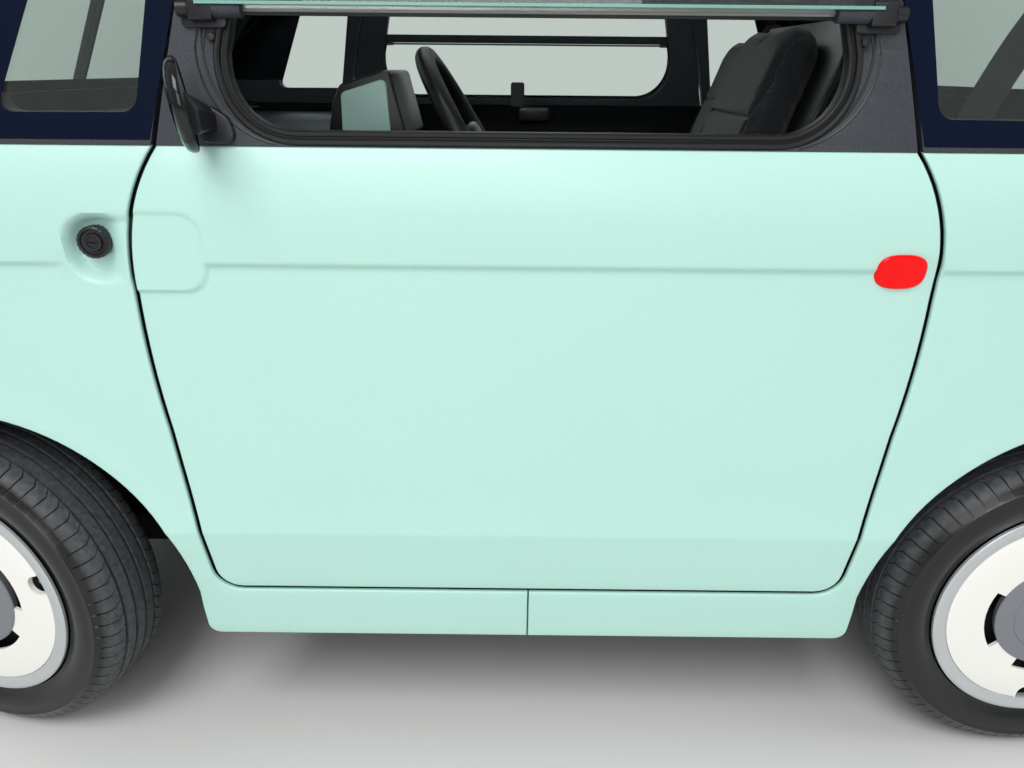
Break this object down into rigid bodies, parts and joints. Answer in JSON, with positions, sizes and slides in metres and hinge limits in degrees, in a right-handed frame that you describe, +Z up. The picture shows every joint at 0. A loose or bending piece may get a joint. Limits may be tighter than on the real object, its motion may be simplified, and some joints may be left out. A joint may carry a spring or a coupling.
{
  "type": "two-seat electric microcar",
  "caption": "Boxy mint-green electric microcar with flip-up door window, disc wheel covers and glazed roof; its opposed doors open, it steers and its wheels roll.",
  "frame": {"origin": "on the ground below the middle of the body", "axes": "+X forward, +Y to the left, +Z up"},
  "size_m": [2.535, 1.602, 1.5303],
  "materials": {
    "body_panel": "satin",
    "frame_plastic": "matte",
    "glass": "gloss",
    "tyre_rubber": "matte",
    "wheel_cover": "satin",
    "black_plastic": "matte",
    "dark_steel": "matte",
    "zinc_steel": "satin",
    "chrome": "polished",
    "seat_fabric": "matte",
    "clear_lens": "gloss",
    "red_lens": "gloss"
  },
  "bodies": {
    "root": {"nose_panel": "body_panel", "tail_panel": "body_panel", "side_front_left": "body_panel", "side_rear_right": "body_panel", "side_rear_left": "body_panel", "side_front_right": "body_panel", "binnacle": "body_panel", "roof_frame": "frame_plastic", "front_pillars": "frame_plastic", "rear_pillars": "frame_plastic", "screens": "glass", "quarter_glasses": "glass", "roof_glass": "glass", "arch_liners": "black_plastic", "bulkheads": "black_plastic", "dashboard": "black_plastic", "steering_column": "black_plastic", "seat_shells": "black_plastic", "lock_buttons": "black_plastic", "wiper": "black_plastic", "battery_block": "black_plastic", "floor_pan": "dark_steel", "front_arms": "dark_steel", "strut_towers": "dark_steel", "chassis_rails": "dark_steel", "cross_members": "dark_steel", "rear_axle": "dark_steel", "body_hinges": "dark_steel", "seat_feet": "dark_steel", "motor_block": "zinc_steel", "bumper_strips": "chrome", "seat_cushions": "seat_fabric", "seat_backs": "seat_fabric", "headlamps": "clear_lens", "tail_lamps": "red_lens"},
    "left_door": {"door_left_panel": "body_panel", "door_left_hinge": "dark_steel", "door_left_frame": "frame_plastic", "door_left_pane": "glass", "door_left_flap": "glass", "door_left_mirror": "black_plastic", "door_left_reflector": "red_lens"},
    "right_door": {"door_right_panel": "body_panel", "door_right_hinge": "dark_steel", "door_right_frame": "frame_plastic", "door_right_pane": "glass", "door_right_flap": "glass", "door_right_mirror": "black_plastic"},
    "left_steering": {"knuckle_left": "dark_steel"},
    "right_steering": {"knuckle_right": "dark_steel"},
    "front_left_wheel": {"tyre_front_left": "tyre_rubber", "rim_front_left": "wheel_cover"},
    "front_right_wheel": {"tyre_front_right": "tyre_rubber", "rim_front_right": "wheel_cover"},
    "rear_left_wheel": {"tyre_rear_left": "tyre_rubber", "rim_rear_left": "wheel_cover"},
    "rear_right_wheel": {"tyre_rear_right": "tyre_rubber", "rim_rear_right": "wheel_cover"},
    "handwheel": {"steering_wheel": "black_plastic"}
  },
  "joints": [
    {"name": "left_door_hinge", "type": "hinge", "parent": "root", "child": "left_door", "pos_m": [-0.524, 0.6935, 0.65], "axis": [0, 0, 1], "range_deg": [0, 65]},
    {"name": "right_door_hinge", "type": "hinge", "parent": "root", "child": "right_door", "pos_m": [0.524, -0.6935, 0.65], "axis": [0, 0, 1], "range_deg": [0, 65]},
    {"name": "steer_left", "type": "hinge", "parent": "root", "child": "left_steering", "pos_m": [0.886, 0.57, 0.185], "axis": [0, -0.2588, 0.9659], "range_deg": [-16.5, 47.5]},
    {"name": "steer_right", "type": "hinge", "parent": "root", "child": "right_steering", "pos_m": [0.886, -0.57, 0.185], "axis": [0, 0.2588, 0.9659], "range_deg": [-16.5, 47.5]},
    {"name": "handwheel_turn", "type": "hinge", "parent": "root", "child": "handwheel", "pos_m": [0.098, 0.3, 0.958], "axis": [-0.866, 0, 0.5], "range_deg": [-231, 665]},
    {"name": "front_left_spin", "type": "hinge", "parent": "left_steering", "child": "front_left_wheel", "pos_m": [0.89902, 0.59529, 0.272], "axis": [0.2581, 0.9661, -0.0091], "continuous": true},
    {"name": "front_right_spin", "type": "hinge", "parent": "right_steering", "child": "front_right_wheel", "pos_m": [0.87298, -0.59529, 0.272], "axis": [0.2581, 0.9661, 0.0091], "continuous": true},
    {"name": "rear_left_spin", "type": "hinge", "parent": "root", "child": "rear_left_wheel", "pos_m": [-0.842, 0.619, 0.272], "axis": [0, 1, 0], "continuous": true},
    {"name": "rear_right_spin", "type": "hinge", "parent": "root", "child": "rear_right_wheel", "pos_m": [-0.842, -0.619, 0.272], "axis": [0, 1, 0], "continuous": true}
  ],
  "couplings": [
    {"joint": "steer_right", "follows": "steer_left", "ratio": 1},
    {"joint": "handwheel_turn", "follows": "steer_left", "ratio": 14}
  ]
}
